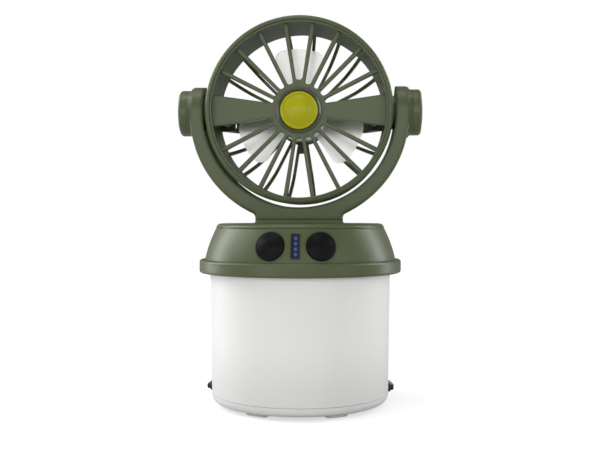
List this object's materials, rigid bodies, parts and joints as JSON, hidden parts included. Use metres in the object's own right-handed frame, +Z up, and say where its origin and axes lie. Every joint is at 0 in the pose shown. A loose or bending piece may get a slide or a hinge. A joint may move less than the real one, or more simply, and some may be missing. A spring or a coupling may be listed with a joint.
{
  "type": "portable camping fan",
  "caption": "Tabletop camping fan on a lantern base: a tilting spoked fan head in a yoke, a frosted lantern drum, press buttons, a charging flap and a wire bail.",
  "frame": {"origin": "on the surface the feet stand on, at the centre of the outline, which is the lantern's own axis", "axes": "+Z up, -Y the front with the buttons, +X to the right seen from the front"},
  "size_m": [0.1452, 0.12, 0.228],
  "materials": {
    "green_plastic": "moulded, fine satin grain",
    "diffuser": "frosted translucent white",
    "foot_rubber": "soft, translucent white",
    "black_rubber": "smooth satin",
    "port_rubber": "soft, green",
    "dark_plastic": "moulded",
    "white_plastic": "satin white",
    "clear_blade": "translucent smoke white",
    "lime_gloss": "gloss yellow green",
    "navy_window": "gloss smoked",
    "violet_light": "gloss",
    "led_yellow": "gloss phosphor",
    "switch_black": "moulded",
    "circuit_board": "solder mask",
    "cell_wrap": "shrink wrap",
    "nickel": "nickel strip",
    "steel": "zinc plated",
    "motor_steel": "drawn steel",
    "chrome_wire": "bright plated wire"
  },
  "bodies": {
    "base": {"bottom_cap": "diffuser", "feet": "foot_rubber", "lens": "diffuser", "lens_gasket": "black_rubber", "collar": "green_plastic", "bail_grommets": "black_rubber", "base_housing": "green_plastic", "chassis_plate": "dark_plastic", "chassis_screws": "steel", "battery_tray": "dark_plastic", "battery_cells": "cell_wrap", "battery_tabs": "nickel", "control_board": "circuit_board", "charge_board": "circuit_board", "charge_socket": "steel", "indicator_window": "navy_window", "indicator_lights": "violet_light", "indicator_board": "circuit_board", "switch_boards": "circuit_board", "tact_switches": "switch_black", "reflector": "white_plastic", "led_board": "white_plastic", "lamp_leds": "led_yellow", "yoke": "green_plastic", "yoke_screws": "steel", "left_pivot_cap": "green_plastic", "right_pivot_cap": "green_plastic"},
    "head": {"rear_housing": "green_plastic", "front_grille": "green_plastic", "hub_dome": "lime_gloss", "pivot_washers": "white_plastic", "retaining_washers": "steel", "pivot_screws": "steel", "motor_can": "motor_steel", "motor_screws": "steel", "rear_hub_cap": "green_plastic", "grille_screws": "steel"},
    "rotor": {"motor_shaft": "motor_steel", "fan_blade": "clear_blade"},
    "fan_key": {"fan_button": "black_rubber", "fan_switch_plunger": "switch_black"},
    "lamp_key": {"lamp_button": "black_rubber", "lamp_switch_plunger": "switch_black"},
    "port_flap": {"port_cover": "port_rubber"},
    "bail": {"bail_wire": "chrome_wire"}
  },
  "joints": [
    {"name": "head_tilt", "type": "hinge", "parent": "base", "child": "head", "pos_m": [0, 0, 0.17317], "axis": [1, 0, 0], "range_deg": [-90, 90]},
    {"name": "fan_spin", "type": "hinge", "parent": "head", "child": "rotor", "pos_m": [0, 0, 0.17317], "axis": [0, -1, 0], "continuous": true},
    {"name": "fan_key_press", "type": "slide", "parent": "base", "child": "fan_key", "axis": [0.2421, 0.9107, -0.3346], "range_m": [0, 0.001], "stiffness_N_per_m": 600, "springref_m": -0.0005},
    {"name": "lamp_key_press", "type": "slide", "parent": "base", "child": "lamp_key", "axis": [-0.2421, 0.9107, -0.3346], "range_m": [0, 0.001], "stiffness_N_per_m": 600, "springref_m": -0.0005},
    {"name": "port_flap_hinge", "type": "hinge", "parent": "base", "child": "port_flap", "pos_m": [0, 0.05521, 0.08936], "axis": [-1, 0, 0], "range_deg": [0, 105]},
    {"name": "bail_swing", "type": "hinge", "parent": "base", "child": "bail", "pos_m": [0, 0, 0.0093], "axis": [1, 0, 0], "range_deg": [-180, 12]}
  ]
}
